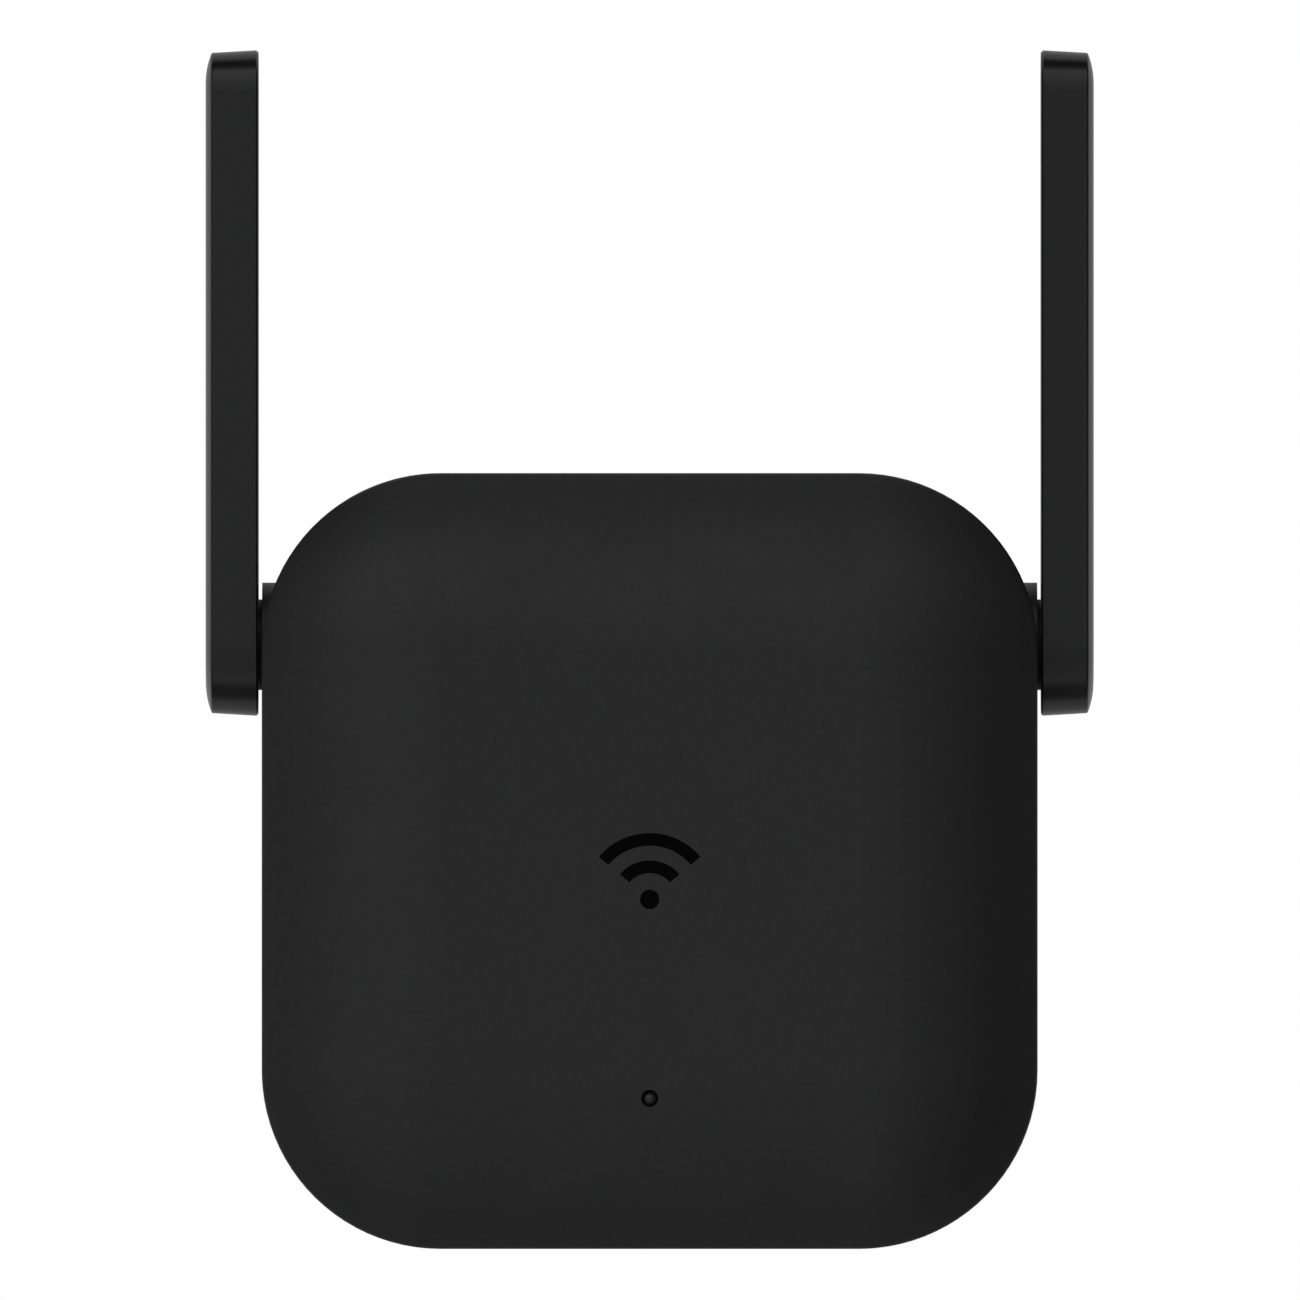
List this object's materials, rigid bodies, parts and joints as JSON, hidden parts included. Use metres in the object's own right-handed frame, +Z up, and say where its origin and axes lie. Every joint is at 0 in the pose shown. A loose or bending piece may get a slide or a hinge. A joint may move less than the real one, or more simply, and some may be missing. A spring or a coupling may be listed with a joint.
{
  "type": "wifi range extender",
  "caption": "Plug-in wireless range extender: pillow-fronted square housing with a wall plug behind, a status light and a swivelling paddle antenna on each side.",
  "frame": {"origin": "centre of the plug's contact face, midway between the two pins", "axes": "+Z up; +X to the right as seen from the front; +Y from the front of the object towards the wall, so the front faces -Y"},
  "size_m": [0.091, 0.0595, 0.1228],
  "materials": {
    "case": "satin, very fine texture",
    "case_rear": "satin, fine spark texture",
    "mark_gloss": "glossy inlay",
    "sleeve_black": "smooth",
    "pin_nickel": "nickel plated, satin",
    "carrier_plastic": "moulded",
    "brass_strip": "bare",
    "board_green": "solder mask",
    "board_tan": "paper laminate",
    "ferrite": "sintered",
    "winding_tape": "taped winding",
    "capacitor_sleeve": "shrink sleeve",
    "component_black": "moulded epoxy",
    "component_blue": "dipped",
    "component_green": "coated",
    "header_plastic": "moulded",
    "pin_gold": "gold plated",
    "insulation_film": "translucent film",
    "can_steel": "tinned",
    "pad_silicone": "soft silicone",
    "heatsink_metal": "extruded",
    "crystal_can": "smooth",
    "led_white": "moulded",
    "pipe_clear": "frosted clear plastic",
    "plunger_plastic": "moulded",
    "screw_steel": "black zinc",
    "label_print": "blank label",
    "hinge_pom": "self-lubricating",
    "spring_steel": "bright",
    "cable_jacket": "extruded",
    "plug_metal": "plated"
  },
  "bodies": {
    "housing": {"front_cover": "case", "front_mark": "mark_gloss", "rear_cover": "case_rear", "rating_label": "label_print", "plug_pin_left": "pin_nickel", "plug_pin_right": "pin_nickel", "pin_sleeve_left": "sleeve_black", "pin_sleeve_right": "sleeve_black", "pin_carrier": "carrier_plastic", "contact_blade_left": "brass_strip", "contact_blade_right": "brass_strip", "power_board": "board_tan", "transformer_core": "ferrite", "transformer_winding": "winding_tape", "bulk_capacitors": "capacitor_sleeve", "output_capacitor": "capacitor_sleeve", "fuse_resistor": "component_green", "bridge_rectifier": "component_black", "controller_chip": "component_black", "optocoupler": "component_black", "y_capacitor": "component_blue", "filter_inductor": "ferrite", "power_header": "header_plastic", "power_header_pins": "pin_gold", "insulation_sheet": "insulation_film", "main_board": "board_green", "shield_can": "can_steel", "wifi_chip": "component_black", "inner_thermal_pad": "pad_silicone", "outer_thermal_pad": "pad_silicone", "heatsink": "heatsink_metal", "flash_chip": "component_black", "crystal": "crystal_can", "status_led": "led_white", "light_pipe": "pipe_clear", "reset_switch": "component_black", "case_screws": "screw_steel", "board_screws": "screw_steel", "power_board_screws": "screw_steel", "coax_left": "cable_jacket", "coax_right": "cable_jacket", "coax_plug_left": "plug_metal", "coax_plug_right": "plug_metal", "hinge_washer_left": "spring_steel", "hinge_bush_left": "hinge_pom", "hinge_washer_right": "spring_steel", "hinge_bush_right": "hinge_pom"},
    "antenna_left": {"antenna_left_housing": "case", "antenna_left_cover": "case", "antenna_left_element": "board_green", "antenna_left_cable": "cable_jacket", "hinge_clip_left": "spring_steel"},
    "antenna_right": {"antenna_right_housing": "case", "antenna_right_cover": "case", "antenna_right_element": "board_green", "antenna_right_cable": "cable_jacket", "hinge_clip_right": "spring_steel"},
    "reset": {"reset_plunger": "plunger_plastic"}
  },
  "joints": [
    {"name": "antenna_left_swivel", "type": "hinge", "parent": "housing", "child": "antenna_left", "pos_m": [-0.0425, -0.0235, 0.02216], "axis": [1, 0, 0], "range_deg": [0, 180]},
    {"name": "antenna_right_swivel", "type": "hinge", "parent": "housing", "child": "antenna_right", "pos_m": [0.0425, -0.0235, 0.02216], "axis": [1, 0, 0], "range_deg": [0, 180]},
    {"name": "reset_press", "type": "slide", "parent": "housing", "child": "reset", "axis": [0, 0, 1], "range_m": [0, 0.00025], "stiffness_N_per_m": 6400}
  ]
}
